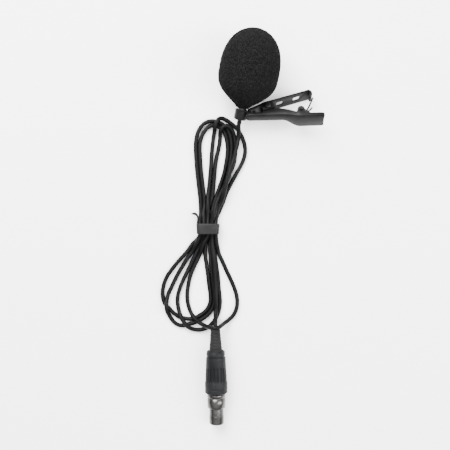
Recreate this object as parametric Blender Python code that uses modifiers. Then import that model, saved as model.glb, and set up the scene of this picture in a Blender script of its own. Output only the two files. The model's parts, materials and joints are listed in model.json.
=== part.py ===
"""Lavalier microphone with foam windscreen, tie clip, hanked cord and a small locking plug.

It lies on a flat surface: +Z is up, +Y runs from the plug towards the windscreen, and the
clip reaches out along +X. Sizes below are in millimetres and are scaled once, by MM.
"""
import math

import bmesh
import bpy
from mathutils import Matrix, Vector

MM = 0.001

# ---- driving dimensions, in millimetres and degrees ----
GAP = 0.3                 # clearance between faces that meet
PIN_PLAY = 0.08           # radial clearance of a pin in its hole

TAIL = (-16.0, -22.3, 6.7)   # centre of the microphone's tail, where the cord leaves it
MIC_LEAN = 11.1           # the microphone's axis leans towards +X by this much
MIC_RISE = 21.9           # and rises towards the windscreen by this much
BODY_R = 2.2              # microphone body
BODY_WALL = 0.35
BODY_LENGTH = 13.0
HEAD_LENGTH = 6.4         # grille cap on top of the body
CAPSULE_LENGTH = 3.0
BOARD = (2.2, 0.6, 8.0)
RELIEF_LENGTH = 2.2

FOAM_R = 15.2
FOAM_LENGTH = 40.0
FOAM_FOOT = 6.3           # where the windscreen's neck ends, measured from the tail
FOAM_WIDEST = 18.2        # from the foot to the widest place
FOAM_NECK_R = 3.4
FOAM_BORE_DEPTH = 16.0

COLLAR_LENGTH = 5.0
COLLAR_WALL = 0.7

COLLAR_R = BODY_R + GAP + COLLAR_WALL
CLIP_ORIGIN = (TAIL[0] + COLLAR_R + 10.9, -22.0, 11.2)
CLIP_TURN = 1.5           # about +Z
CLIP_ROLL = -30.0         # about the clip's own length
SHEET = 0.8               # sheet metal of the clip
JAW_TIP = 11.0            # from the pivot to the lower jaw's tip
JAW_HALF = 2.1
THUMB_HALF = 4.6
THUMB_END = 27.7
STEP_FROM = 7.4             # where the lower jaw starts to widen and step down
STEP_RUN = 8.6
NECK_FROM = -4.5            # where the jaw widens from its tip to its lugs
NECK_RUN = 2.0
THUMB_DROP = 2.6          # how far the thumb plate is set down from the jaw
JAW_RIM = 1.4
PIVOT_HEIGHT = 4.6
LUG_HALF = 2.6
LUG_R = 1.6
PIN_R = 0.8
EAR_AT = (16.4, 1.5)      # hole for the spring's pin, along and above the jaw
EAR_R = 1.7
LEVER_ANGLE = 17.7
LEVER_HALF = 3.7
LEVER_NOSE_HALF = 2.1
LEVER_NOSE_FROM = 3.1     # from the pivot to where the lever has its full width
LEVER_TIP = 9.6
LEVER_REACH = 22.7
LEVER_LIFT = 2.3          # from the pivot to the middle of the lever's plate
CURL_R = 1.25
SLOT_SIZE = (3.7, 2.8)
SLOT_AT = (7.1, 16.2)
RIVET_AT = (3.4, -2.3)      # collar rivet, from the lever's tip and across it
RIVET_R = 0.6
TONGUE_LIFT = LEVER_LIFT + SHEET + GAP
TOOTH_DROP = 2.2
SPRING_PIN_R = 0.55
SPRING_WIRE_R = 0.35
SPRING_COIL_R = 1.25
SPRING_TURNS = 4
SPRING_SHIFT = 1.0        # the coil sits this far off the clip's middle
LEG_LENGTH = 12.6
LEG_ANGLE = 55.5

CORD_R = 1.1
HANK_HEIGHT = 4.4
TIE_AT = (-32.3, -78.1)
TIE_HALF = 5.8
TIE_THICKNESS = 0.9
TIE_WIDTH = 4.8
TIE_END_R = 0.7

PLUG_START = (-28.4, -128.8, 8.25)
PLUG_TURN = 0.7           # the plug's axis runs this far off -Y, towards +X
PLUG_DIP = 4.3            # and dips towards its nose
BOOT_LENGTH = 14.2
BOOT_R = (2.5, 3.7)
SHELL_FROM = 11.2
SHELL_LENGTH = 21.6
SHELL_R = (4.65, 5.75)
BARREL_LENGTH = 7.4
BARREL_R = 4.55
NOSE_LENGTH = 8.0
NOSE_R = 3.7
NOSE_WALL = 0.45
INSERT_LENGTH = 3.2
CONTACT_R = 0.5
CONTACT_COUNT = 4
CONTACT_CIRCLE_R = 1.55
CONTACT_LENGTH = 8.4
LATCH_SIZE = (2.6, 1.0, 4.6)
LATCH_SET_BACK = 1.2      # from the barrel's back edge to the press tab
LEAF_WIDTH = 1.2
CLAMP_LENGTH = 7.0
THREAD_LENGTH = 6.5
BARREL_BORE = 2.9

# Puts the origin under the middle of the microphone and clip.
LAYOUT_SHIFT = (0.461, 2.546, 0.035)

# The cord from the microphone's tail to the tie: places chosen along its length.
LEAD_ROUTE = [
    (-16.5, -24.8, 5.9), (-17.0, -28.5, 5.9), (-17.7, -34.0, 5.9), (-18.7, -40.0, 5.9),
    (-20.1, -46.5, 5.9), (-21.9, -53.0, 5.9), (-24.0, -59.4, 5.9), (-26.3, -65.2, 5.9),
    (-28.4, -70.6, 5.9), (-29.8, -74.8, 5.9),
]
# One side of the hank's outline and then the other, from the top round to the left.
HANK_OUTLINE = [
    (-26.5, -21.6), (-19.6, -24.8), (-14.4, -31.2), (-12.2, -38.6), (-14.6, -46.0),
    (-20.4, -55.6), (-24.8, -64.6), (-27.6, -73.5), (-27.6, -82.5), (-23.8, -92.2),
    (-18.4, -104.0), (-15.9, -114.0), (-17.6, -123.0), (-22.0, -127.3), (-33.0, -128.4),
    (-43.4, -128.4), (-50.0, -124.0), (-54.6, -116.0), (-55.2, -107.0), (-50.8, -98.0),
    (-43.0, -89.0), (-36.6, -82.5), (-36.2, -73.5), (-37.2, -64.6), (-39.0, -52.0),
    (-39.6, -42.0), (-38.6, -32.0), (-33.6, -24.2),
]

part_collection = None
cutter_collection = None
layout = None


# ---- helpers ----
def clear_scene():
    for item in list(bpy.data.objects):
        bpy.data.objects.remove(item, do_unlink=True)


def new_collection(name):
    collection = bpy.data.collections.new(name)
    bpy.context.scene.collection.children.link(collection)
    return collection


def finish_material(name, colour, roughness, metallic=0.0):
    found = bpy.data.materials.get(name)
    if found:
        return found
    made = bpy.data.materials.new(name)
    made.use_nodes = True
    shader = made.node_tree.nodes["Principled BSDF"]
    shader.inputs["Base Color"].default_value = (*colour, 1.0)
    shader.inputs["Roughness"].default_value = roughness
    shader.inputs["Metallic"].default_value = metallic
    return made


def foam_black():
    return finish_material("foam_black", (0.010, 0.010, 0.011), 0.95)


def satin_black_metal():
    return finish_material("satin_black_metal", (0.020, 0.020, 0.022), 0.42, 0.4)


def black_rubber():
    return finish_material("black_rubber", (0.022, 0.022, 0.023), 0.6)


def black_plastic():
    return finish_material("black_plastic", (0.025, 0.027, 0.030), 0.45)


def plug_metal():
    return finish_material("plug_metal", (0.24, 0.23, 0.22), 0.30, 1.0)


def gold():
    return finish_material("gold", (0.80, 0.58, 0.24), 0.25, 1.0)


def green_board():
    return finish_material("green_board", (0.02, 0.12, 0.05), 0.5)


def add_object(name, mesh, material, frame=None, cutter=False):
    """The object rides on its frame, or on the layout where it has none."""
    item = bpy.data.objects.new(name, mesh)
    if cutter:
        cutter_collection.objects.link(item)
        item.hide_render = True
        item.display_type = "WIRE"
    else:
        part_collection.objects.link(item)
        mesh.materials.append(material)
    item.parent = frame or layout
    return item


def add_frame(name, matrix, parent=None):
    empty = bpy.data.objects.new(name, None)
    part_collection.objects.link(empty)
    empty.parent = parent or layout
    empty.matrix_basis = matrix
    return empty


def turned(name, profile, material, frame, steps=32, cutter=False):
    """Profile points (radius, height) run down the outer side; it may close on itself."""
    mesh = bpy.data.meshes.new(name)
    points = [(r * MM, 0.0, z * MM) for r, z in profile]
    edges = [(i, i + 1) for i in range(len(points) - 1)]
    if profile[0][0] > 0.0:
        edges.append((len(points) - 1, 0))
    mesh.from_pydata(points, edges, [])
    item = add_object(name, mesh, material, frame, cutter)
    screw = item.modifiers.new("turn", "SCREW")
    screw.steps = steps
    screw.render_steps = steps
    screw.use_merge_vertices = True
    screw.merge_threshold = 0.00001
    screw.use_smooth_shade = True
    return item


def block(name, size, place, material, frame, bevel=0.0, cutter=False):
    mesh = bpy.data.meshes.new(name)
    form = bmesh.new()
    bmesh.ops.create_cube(form, size=1.0)
    bmesh.ops.scale(form, vec=Vector(size) * MM, verts=form.verts)
    bmesh.ops.translate(form, vec=Vector(place) * MM, verts=form.verts)
    form.to_mesh(mesh)
    form.free()
    item = add_object(name, mesh, material, frame, cutter)
    if bevel:
        edge = item.modifiers.new("edges", "BEVEL")
        edge.width = bevel * MM
        edge.segments = 2
    return item


def cylinder(name, radius, length, place, material, frame, along="Z", cutter=False, segments=24):
    mesh = bpy.data.meshes.new(name)
    form = bmesh.new()
    bmesh.ops.create_cone(form, cap_ends=True, segments=segments, radius1=radius * MM,
                          radius2=radius * MM, depth=length * MM)
    if along == "Y":
        bmesh.ops.rotate(form, matrix=Matrix.Rotation(math.pi / 2, 3, "X"), verts=form.verts)
    bmesh.ops.translate(form, vec=Vector(place) * MM, verts=form.verts)
    form.to_mesh(mesh)
    form.free()
    item = add_object(name, mesh, material, frame, cutter)
    return item


def combine(item, other, operation):
    change = item.modifiers.new(operation.lower(), "BOOLEAN")
    change.operation = operation
    change.solver = "EXACT"
    change.object = other


def wire(name, points, radius, material, frame, resolution=2):
    curve = bpy.data.curves.new(name, "CURVE")
    curve.dimensions = "3D"
    curve.bevel_depth = radius * MM
    curve.bevel_resolution = resolution
    curve.use_fill_caps = True
    spline = curve.splines.new("POLY")
    spline.points.add(len(points) - 1)
    for spot, place in zip(spline.points, points):
        spot.co = (place[0] * MM, place[1] * MM, place[2] * MM, 1.0)
    item = bpy.data.objects.new(name, curve)
    part_collection.objects.link(item)
    curve.materials.append(material)
    item.parent = frame or layout
    return item


def smooth_route(route, spacing, closed=False):
    """Points read from a Catmull-Rom curve through the route's own points."""
    places = [Vector(p) for p in route]
    count = len(places)
    made = []
    spans = count if closed else count - 1
    for i in range(spans):
        if closed:
            before, start, end, after = (places[(i + k) % count] for k in (-1, 0, 1, 2))
        else:
            start, end = places[i], places[i + 1]
            before = places[i - 1] if i else start * 2 - end
            after = places[i + 2] if i + 2 < count else end * 2 - start
        pieces = max(1, round((end - start).length / spacing))
        for k in range(pieces):
            t = k / pieces
            made.append(0.5 * ((2 * start) + (end - before) * t
                               + (2 * before - 5 * start + 4 * end - after) * t * t
                               + (3 * start - before - 3 * end + after) * t * t * t))
    if not closed:
        made.append(places[-1])
    return made


def bent_sheet(name, rows, thickness, material, frame):
    """A sheet bent from rows of points, one row for each station, then given its thickness."""
    mesh = bpy.data.meshes.new(name)
    form = bmesh.new()
    lines = [[form.verts.new(Vector(p) * MM) for p in row] for row in rows]
    for first, second in zip(lines, lines[1:]):
        for k in range(len(first) - 1):
            form.faces.new((first[k], first[k + 1], second[k + 1], second[k]))
    bmesh.ops.recalc_face_normals(form, faces=form.faces)
    form.to_mesh(mesh)
    form.free()
    item = add_object(name, mesh, material, frame)
    wall = item.modifiers.new("thickness", "SOLIDIFY")
    wall.thickness = thickness * MM
    wall.offset = 0.0
    wall.use_even_offset = True
    return item


# ---- reference frames ----
def mic_matrix():
    turn = Matrix.Rotation(math.radians(-MIC_LEAN), 4, "Z")
    rise = Matrix.Rotation(math.radians(MIC_RISE - 90.0), 4, "X")
    return Matrix.Translation(Vector(TAIL) * MM) @ turn @ rise


def clip_matrix():
    """Local x runs along the clip, y towards the lever and z across it, upwards."""
    turn = Matrix.Rotation(math.radians(CLIP_TURN), 4, "Z")
    roll = Matrix.Rotation(math.radians(CLIP_ROLL), 4, "X")
    return Matrix.Translation(Vector(CLIP_ORIGIN) * MM) @ turn @ roll


def lever_matrix():
    pivot = Matrix.Translation(Vector((0.0, PIVOT_HEIGHT, 0.0)) * MM)
    return pivot @ Matrix.Rotation(math.radians(LEVER_ANGLE), 4, "Z")


def plug_matrix():
    turn = Matrix.Rotation(math.radians(PLUG_TURN), 4, "Z")
    dip = Matrix.Rotation(math.radians(90.0 + PLUG_DIP), 4, "X")
    return Matrix.Translation(Vector(PLUG_START) * MM) @ turn @ dip


# ---- microphone ----
def make_microphone(frame):
    outer = BODY_R
    inner = BODY_R - BODY_WALL
    top = BODY_LENGTH
    turned("mic_housing", [
        (outer - 0.2, top), (outer, top - 0.2), (outer, GAP + 0.3), (outer - 0.3, GAP),
        (inner - 0.9, GAP), (inner - 0.9, 1.4), (inner, 1.4), (inner, top),
    ], satin_black_metal(), frame)
    head = top + GAP
    crown = head + HEAD_LENGTH
    turned("mic_grille", [
        (0.0, crown), (outer - 0.9, crown), (outer, crown - 0.9), (outer, head),
        (inner, head), (inner, crown - 1.0), (inner - 0.4, crown - 0.5), (0.0, crown - 0.5),
    ], satin_black_metal(), frame)
    foot = crown - 0.5 - GAP - CAPSULE_LENGTH
    can = inner - 2 * GAP
    turned("capsule", [
        (0.0, foot + CAPSULE_LENGTH), (can - 0.2, foot + CAPSULE_LENGTH),
        (can, foot + CAPSULE_LENGTH - 0.2), (can, foot), (0.0, foot),
    ], plug_metal(), frame)
    seat = foot - GAP
    turned("capsule_gasket", [
        (inner - GAP, seat), (inner - GAP, seat - 0.8), (inner - GAP - 0.5, seat - 0.8),
        (inner - GAP - 0.5, seat),
    ], black_rubber(), frame)
    block("preamp_board", BOARD, (0.0, 0.0, 1.4 + GAP + BOARD[2] / 2 + 0.6), green_board(), frame)
    mouth = inner - 0.9 - GAP
    turned("mic_strain_relief", [
        (0.0, 1.2), (mouth, 1.2), (mouth, 0.0), (mouth + 0.5, 0.0), (mouth + 0.45, -0.8),
        (CORD_R + 0.1, -RELIEF_LENGTH), (0.0, -RELIEF_LENGTH),
    ], black_rubber(), frame)


def foam_radius(height):
    """The windscreen's outer radius at a height above its foot."""
    if height >= FOAM_WIDEST:
        t = (height - FOAM_WIDEST) / (FOAM_LENGTH - FOAM_WIDEST)
        return FOAM_R * math.sqrt(max(0.0, 1.0 - t ** 2.5))
    t = max(0.0, height / FOAM_WIDEST)
    swell = 1.0 - (1.0 - t ** 1.3) ** 3.4
    return FOAM_NECK_R + (FOAM_R - FOAM_NECK_R) * swell


def make_windscreen(frame):
    steps = 26
    profile = []
    for i in range(steps + 1):
        angle = math.pi * i / steps
        height = FOAM_LENGTH * (1.0 + math.cos(angle)) / 2.0
        profile.append((foam_radius(height), FOAM_FOOT + height))
    profile[0] = (0.0, FOAM_FOOT + FOAM_LENGTH)
    bore = BODY_R + GAP
    profile.append((bore, FOAM_FOOT))
    profile.append((bore, FOAM_FOOT + FOAM_BORE_DEPTH - 1.0))
    profile.append((bore - 1.2, FOAM_FOOT + FOAM_BORE_DEPTH))
    profile.append((0.0, FOAM_FOOT + FOAM_BORE_DEPTH))
    turned("foam_windscreen", profile, foam_black(), frame, steps=40)


# ---- clip ----
def make_collar(mic_frame, lever_frame):
    inner = BODY_R + GAP
    outer = COLLAR_R
    ring = turned("clip_collar", [
        (outer - 0.3, COLLAR_LENGTH), (outer, COLLAR_LENGTH - 0.3), (outer, 0.3), (outer - 0.3, 0.0),
        (inner, 0.0), (inner, COLLAR_LENGTH),
    ], satin_black_metal(), mic_frame, steps=32)
    tongue = block("tongue_form", (7.6, 0.8, 2.6), (-LEVER_TIP + 1.1, TONGUE_LIFT, -2.3), None,
                   lever_frame, cutter=True)
    combine(ring, tongue, "UNION")
    bore = cylinder("collar_bore", inner, 3 * COLLAR_LENGTH, (0.0, 0.0, COLLAR_LENGTH / 2), None,
                    mic_frame, cutter=True, segments=32)
    combine(ring, bore, "DIFFERENCE")
    rivet_hole = cylinder("rivet_hole", RIVET_R + PIN_PLAY, 8.0,
                          (-LEVER_TIP + RIVET_AT[0], TONGUE_LIFT, RIVET_AT[1]), None,
                          lever_frame, along="Y", cutter=True)
    combine(ring, rivet_hole, "DIFFERENCE")
    return rivet_hole


def jaw_height(along):
    """Height of the lower jaw's plate, which steps down to the thumb plate."""
    t = min(1.0, max(0.0, (along - STEP_FROM) / STEP_RUN))
    return -THUMB_DROP * t * t * (3.0 - 2.0 * t)


def jaw_half_width(along):
    if along < -JAW_TIP + JAW_HALF:
        reach = (-JAW_TIP + JAW_HALF - along) / JAW_HALF
        return max(0.45, JAW_HALF * math.sqrt(max(0.0, 1.0 - reach * reach)))
    if along < NECK_FROM:
        return JAW_HALF
    if along < STEP_FROM:
        t = min(1.0, (along - NECK_FROM) / NECK_RUN)
        return JAW_HALF + (LUG_HALF - SHEET / 2 - JAW_HALF) * t
    t = min(1.0, (along - STEP_FROM) / STEP_RUN)
    narrow = LUG_HALF - SHEET / 2
    return narrow + (THUMB_HALF - SHEET / 2 - narrow) * t * t * (3.0 - 2.0 * t)


def wall_top(along):
    """Height of the lower jaw's side walls: a rim, a lug round the pivot, an ear, a rim."""
    rim = jaw_height(along) + JAW_RIM
    height = rim
    if abs(along) < LUG_R:
        height = max(height, PIVOT_HEIGHT + math.sqrt(LUG_R ** 2 - along ** 2))
    if -LUG_R - 1.6 < along <= -LUG_R:
        height = max(height, rim + (PIVOT_HEIGHT - rim) * (along + LUG_R + 1.6) / 1.6)
    lug_end = STEP_FROM + STEP_RUN
    if LUG_R <= along < lug_end:
        t = (along - LUG_R) / (lug_end - LUG_R)
        height = max(height, PIVOT_HEIGHT + (rim - PIVOT_HEIGHT) * t)
    offset = abs(along - EAR_AT[0])
    if offset < EAR_R:
        height = max(height, EAR_AT[1] + math.sqrt(EAR_R ** 2 - offset ** 2))
    return height


def make_lower_jaw(frame, spring_frame):
    stations = [-JAW_TIP + JAW_HALF * (1.0 - math.cos(math.radians(15.0 * k))) for k in range(1, 7)]
    stations += [-6.8, -4.5, -3.4, -2.6, -1.8, -1.5, -1.0, -0.5, 0.0, 0.5, 1.0, 1.5, 1.8, 3.4, 5.2]
    stations += [STEP_FROM + STEP_RUN * k for k in (0.0, 0.17, 0.33, 0.5, 0.65, 0.78)]
    stations += [EAR_AT[0] + EAR_R * k for k in (-1.0, -0.95, -0.75, -0.45, 0.0, 0.45, 0.75, 0.95, 1.0)]
    stations += [21.0, 24.0, THUMB_END - 1.0, THUMB_END - 0.35, THUMB_END]
    rows = []
    for along in stations:
        half = jaw_half_width(along)
        if along > THUMB_END - 0.9:
            half -= 0.25 if along < THUMB_END else 0.7
        low = jaw_height(along)
        top = wall_top(along)
        fold = min(0.5, half * 0.5)
        side = [(along, top, half), (along, low + fold, half), (along, low + fold * 0.3, half - fold * 0.3),
                (along, low, half - fold)]
        rows.append(side + [(x, y, -z) for x, y, z in reversed(side)])
    jaw = bent_sheet("clip_lower_jaw", rows, SHEET, satin_black_metal(), frame)
    pin_hole = cylinder("pin_hole", PIN_R + PIN_PLAY, 12.0, (0.0, PIVOT_HEIGHT, 0.0), None, frame,
                        cutter=True)
    combine(jaw, pin_hole, "DIFFERENCE")
    ear_hole = cylinder("ear_hole", SPRING_PIN_R + PIN_PLAY, 14.0, (0.0, 0.0, 0.0), None, spring_frame,
                        cutter=True)
    combine(jaw, ear_hole, "DIFFERENCE")
    return pin_hole


def make_lever(frame, pin_hole, rivet_hole):
    path = [(-LEVER_TIP - 0.1 + (LEVER_REACH + LEVER_TIP) * k / 12.0, LEVER_LIFT) for k in range(13)]
    bend = 200.0
    for k in range(1, 11):
        angle = math.radians(bend * k / 10.0)
        path.append((LEVER_REACH + CURL_R * math.sin(angle), LEVER_LIFT - CURL_R * (1.0 - math.cos(angle))))
    rows = []
    for index, (along, height) in enumerate(path):
        taper = min(1.0, max(0.0, (along + LEVER_NOSE_FROM + 2.0) / 2.0))
        half = LEVER_NOSE_HALF + (LEVER_HALF - LEVER_NOSE_HALF) * taper
        if index == 0:
            half -= 0.6
        if along > LEVER_REACH - 0.5:
            over = min(1.0, (index - 12) / 10.0) if index > 12 else 0.0
            half = LEVER_HALF - 2.0 * over ** 1.2
        rows.append([(along, height, half), (along, height, 0.0), (along, height, -half)])
    lever = bent_sheet("clip_lever", rows, SHEET, satin_black_metal(), frame)
    for side in (-1, 1):
        drop = LEVER_LIFT + PIN_R + 1.0
        flange = block(f"flange_{side}", (6.0, drop, SHEET),
                       (0.0, LEVER_LIFT - drop / 2, side * (LEVER_HALF - SHEET / 2)), None, frame,
                       cutter=True)
        combine(lever, flange, "UNION")
    tooth = block("tooth_form", (SHEET, TOOTH_DROP, 2 * JAW_HALF),
                  (-LEVER_TIP + SHEET / 2, LEVER_LIFT - TOOTH_DROP / 2, 0.0), None, frame, cutter=True)
    combine(lever, tooth, "UNION")
    for place in SLOT_AT:
        slot = block(f"slot_{place}", (SLOT_SIZE[0], 4 * SHEET, SLOT_SIZE[1]), (place, LEVER_LIFT, 0.0), None,
                     frame, cutter=True)
        rounding = slot.modifiers.new("ends", "BEVEL")
        rounding.width = 0.9 * MM
        rounding.segments = 3
        rounding.limit_method = "WEIGHT"
        mark_upright_edges(slot.data)
        combine(lever, slot, "DIFFERENCE")
    combine(lever, pin_hole, "DIFFERENCE")
    combine(lever, rivet_hole, "DIFFERENCE")


def mark_upright_edges(mesh):
    """Gives bevel weight to a block's four edges along y, so only its outline is rounded."""
    weights = mesh.attributes.new("bevel_weight_edge", "FLOAT", "EDGE")
    for edge in mesh.edges:
        run = mesh.vertices[edge.vertices[0]].co - mesh.vertices[edge.vertices[1]].co
        weights.data[edge.index].value = 1.0 if abs(run.y) > 1e-6 else 0.0


def make_clip_pins(clip_frame, lever_frame, spring_frame):
    half = LEVER_HALF + GAP
    turned("clip_pivot_pin", [
        (0.0, half + 0.6), (PIN_R + 0.3, half + 0.6), (PIN_R + 0.6, half + 0.3), (PIN_R + 0.6, half),
        (PIN_R, half), (PIN_R, -half), (PIN_R + 0.6, -half), (PIN_R + 0.6, -half - 0.3),
        (PIN_R + 0.3, -half - 0.6), (0.0, -half - 0.6),
    ], plug_metal(), add_frame("pin_frame", Matrix.Translation(Vector((0.0, PIVOT_HEIGHT, 0.0)) * MM),
                               clip_frame), steps=20)
    reach = jaw_half_width(EAR_AT[0]) + SHEET / 2 + GAP
    turned("spring_pin", [
        (0.0, reach + 0.4), (SPRING_PIN_R + 0.4, reach + 0.4), (SPRING_PIN_R + 0.4, reach),
        (SPRING_PIN_R, reach), (SPRING_PIN_R, -reach), (SPRING_PIN_R + 0.4, -reach),
        (SPRING_PIN_R + 0.4, -reach - 0.4), (0.0, -reach - 0.4),
    ], plug_metal(), spring_frame, steps=20)
    shank = SHEET + GAP + SHEET / 2
    rivet_frame = add_frame(
        "rivet_frame",
        Matrix.Translation(Vector((-LEVER_TIP + RIVET_AT[0], TONGUE_LIFT, RIVET_AT[1])) * MM)
        @ Matrix.Rotation(-math.pi / 2, 4, "X"), lever_frame)
    turned("collar_rivet", [
        (0.0, SHEET / 2 + GAP + 0.5), (0.8, SHEET / 2 + GAP + 0.5), (1.05, SHEET / 2 + GAP),
        (RIVET_R, SHEET / 2 + GAP), (RIVET_R, -shank - SHEET / 2 - GAP), (1.05, -shank - SHEET / 2 - GAP),
        (0.8, -shank - SHEET / 2 - GAP - 0.4), (0.0, -shank - SHEET / 2 - GAP - 0.4),
    ], plug_metal(), rivet_frame, steps=20)


def make_spring(spring_frame, leg_frame):
    pitch = 2 * SPRING_WIRE_R + 0.25
    steps = 12
    points = []
    length = pitch * SPRING_TURNS
    for k in range(SPRING_TURNS * steps + 1):
        angle = 2 * math.pi * k / steps - math.pi / 2
        points.append((SPRING_COIL_R * math.cos(angle), SPRING_COIL_R * math.sin(angle),
                       SPRING_SHIFT - length / 2 + pitch * k / steps))
    end = points[-1]
    tail = [(end[0] + 1.6, end[1] + 0.1, end[2]), (end[0] + 3.2, end[1] + 0.5, end[2]),
            (end[0] + 4.6, end[1] + 1.5, end[2]), (end[0] + 5.8, end[1] + 3.0, end[2])]
    wire("clip_spring", points + tail, SPRING_WIRE_R, satin_black_metal(), spring_frame)
    hook = SPRING_SHIFT - length / 2 - pitch
    leg = [(-0.15, -SPRING_COIL_R, hook), (0.9, -1.0, hook), (1.35, 0.2, hook), (1.6, 1.6, hook * 0.95),
           (1.2, 4.4, hook * 0.6), (0.8, 8.0, hook * 0.25), (0.4, 10.4, 0.0), (0.0, LEG_LENGTH, 0.0)]
    wire("clip_spring_leg", smooth_route(leg, 0.9), SPRING_WIRE_R, satin_black_metal(), leg_frame)


# ---- cord, tie ----
def make_cord():
    wire("cord_lead", smooth_route(LEAD_ROUTE, 2.5 * CORD_R * 2), CORD_R, black_rubber(), None)
    outline = smooth_route([(x, y, 0.0) for x, y in HANK_OUTLINE], 3.5, closed=True)
    mesh = bpy.data.meshes.new("cord_hank")
    form = bmesh.new()
    low = [form.verts.new(Vector((p.x, p.y, GAP / 3)) * MM) for p in outline]
    face = form.faces.new(low)
    made = bmesh.ops.extrude_face_region(form, geom=[face])
    lifted = [v for v in made["geom"] if isinstance(v, bmesh.types.BMVert)]
    bmesh.ops.translate(form, vec=(0.0, 0.0, (HANK_HEIGHT - GAP / 3) * MM), verts=lifted)
    bmesh.ops.recalc_face_normals(form, faces=form.faces)
    form.to_mesh(mesh)
    form.free()
    hank = add_object("cord_hank", mesh, black_rubber())
    groove = block("tie_groove", (4 * TIE_HALF, TIE_WIDTH + 2 * GAP, 2 * (TIE_THICKNESS + GAP)),
                   (*TIE_AT, 0.0), None, None, cutter=True)
    combine(hank, groove, "DIFFERENCE")


def make_tie():
    """A flat strap round the hank's waist, and its two ends twisted together at one side."""
    wall = TIE_THICKNESS
    wide = TIE_HALF - wall / 2
    low = wall / 2
    high = HANK_HEIGHT + 2 * GAP + wall
    bulge = 0.5
    ring = [(-wide, low + 1.4), (-wide + 0.6, low), (wide - 0.6, low), (wide, low + 1.4), (wide, high - 1.2),
            (wide - 1.4, high), (0.0, high + bulge), (-wide + 1.4, high), (-wide, high - 1.2)]
    mesh = bpy.data.meshes.new("cord_tie")
    form = bmesh.new()
    edges = []
    for side in (-1, 1):
        edges.append([form.verts.new(Vector((TIE_AT[0] + x, TIE_AT[1] + side * TIE_WIDTH / 2, z)) * MM)
                      for x, z in ring])
    for k in range(len(ring)):
        after = (k + 1) % len(ring)
        form.faces.new((edges[0][k], edges[0][after], edges[1][after], edges[1][k]))
    bmesh.ops.recalc_face_normals(form, faces=form.faces)
    form.to_mesh(mesh)
    form.free()
    tie = add_object("cord_tie", mesh, black_plastic())
    thick = tie.modifiers.new("thickness", "SOLIDIFY")
    thick.thickness = wall * MM
    thick.offset = 0.0
    side = TIE_AT[0] - TIE_HALF - 2 * GAP
    for number, (shift, lift) in enumerate(((0.0, 0.0), (0.6, 1.9))):
        tail = [(side - shift, TIE_AT[1] + 1.2, 1.6 + lift),
                (side - shift - 0.1, TIE_AT[1] + 4.0, 1.6 + lift),
                (side - shift - 0.4, TIE_AT[1] + 6.8, 1.5 + lift),
                (side - shift - 2.6, TIE_AT[1] + 8.4, 1.4 + lift)]
        wire(f"tie_end_{number + 1}", smooth_route(tail, 1.6), TIE_END_R, black_plastic(), None)


def make_parts():
    mic_frame = add_frame("mic_axis", mic_matrix())
    clip_frame = add_frame("clip_axis", clip_matrix())
    lever_frame = add_frame("lever_pivot", lever_matrix(), clip_frame)
    spring_frame = add_frame("spring_axis", Matrix.Translation(Vector((*EAR_AT, 0.0)) * MM), clip_frame)
    leg_frame = add_frame("spring_leg_axis", Matrix.Rotation(math.radians(LEG_ANGLE - 90.0), 4, "Z"),
                          spring_frame)
    plug_frame = add_frame("plug_axis", plug_matrix())
    make_microphone(mic_frame)
    make_windscreen(mic_frame)
    rivet_hole = make_collar(mic_frame, lever_frame)
    pin_hole = make_lower_jaw(clip_frame, spring_frame)
    make_lever(lever_frame, pin_hole, rivet_hole)
    make_clip_pins(clip_frame, lever_frame, spring_frame)
    make_spring(spring_frame, leg_frame)
    make_cord()
    make_tie()
    make_plug(plug_frame)


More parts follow.
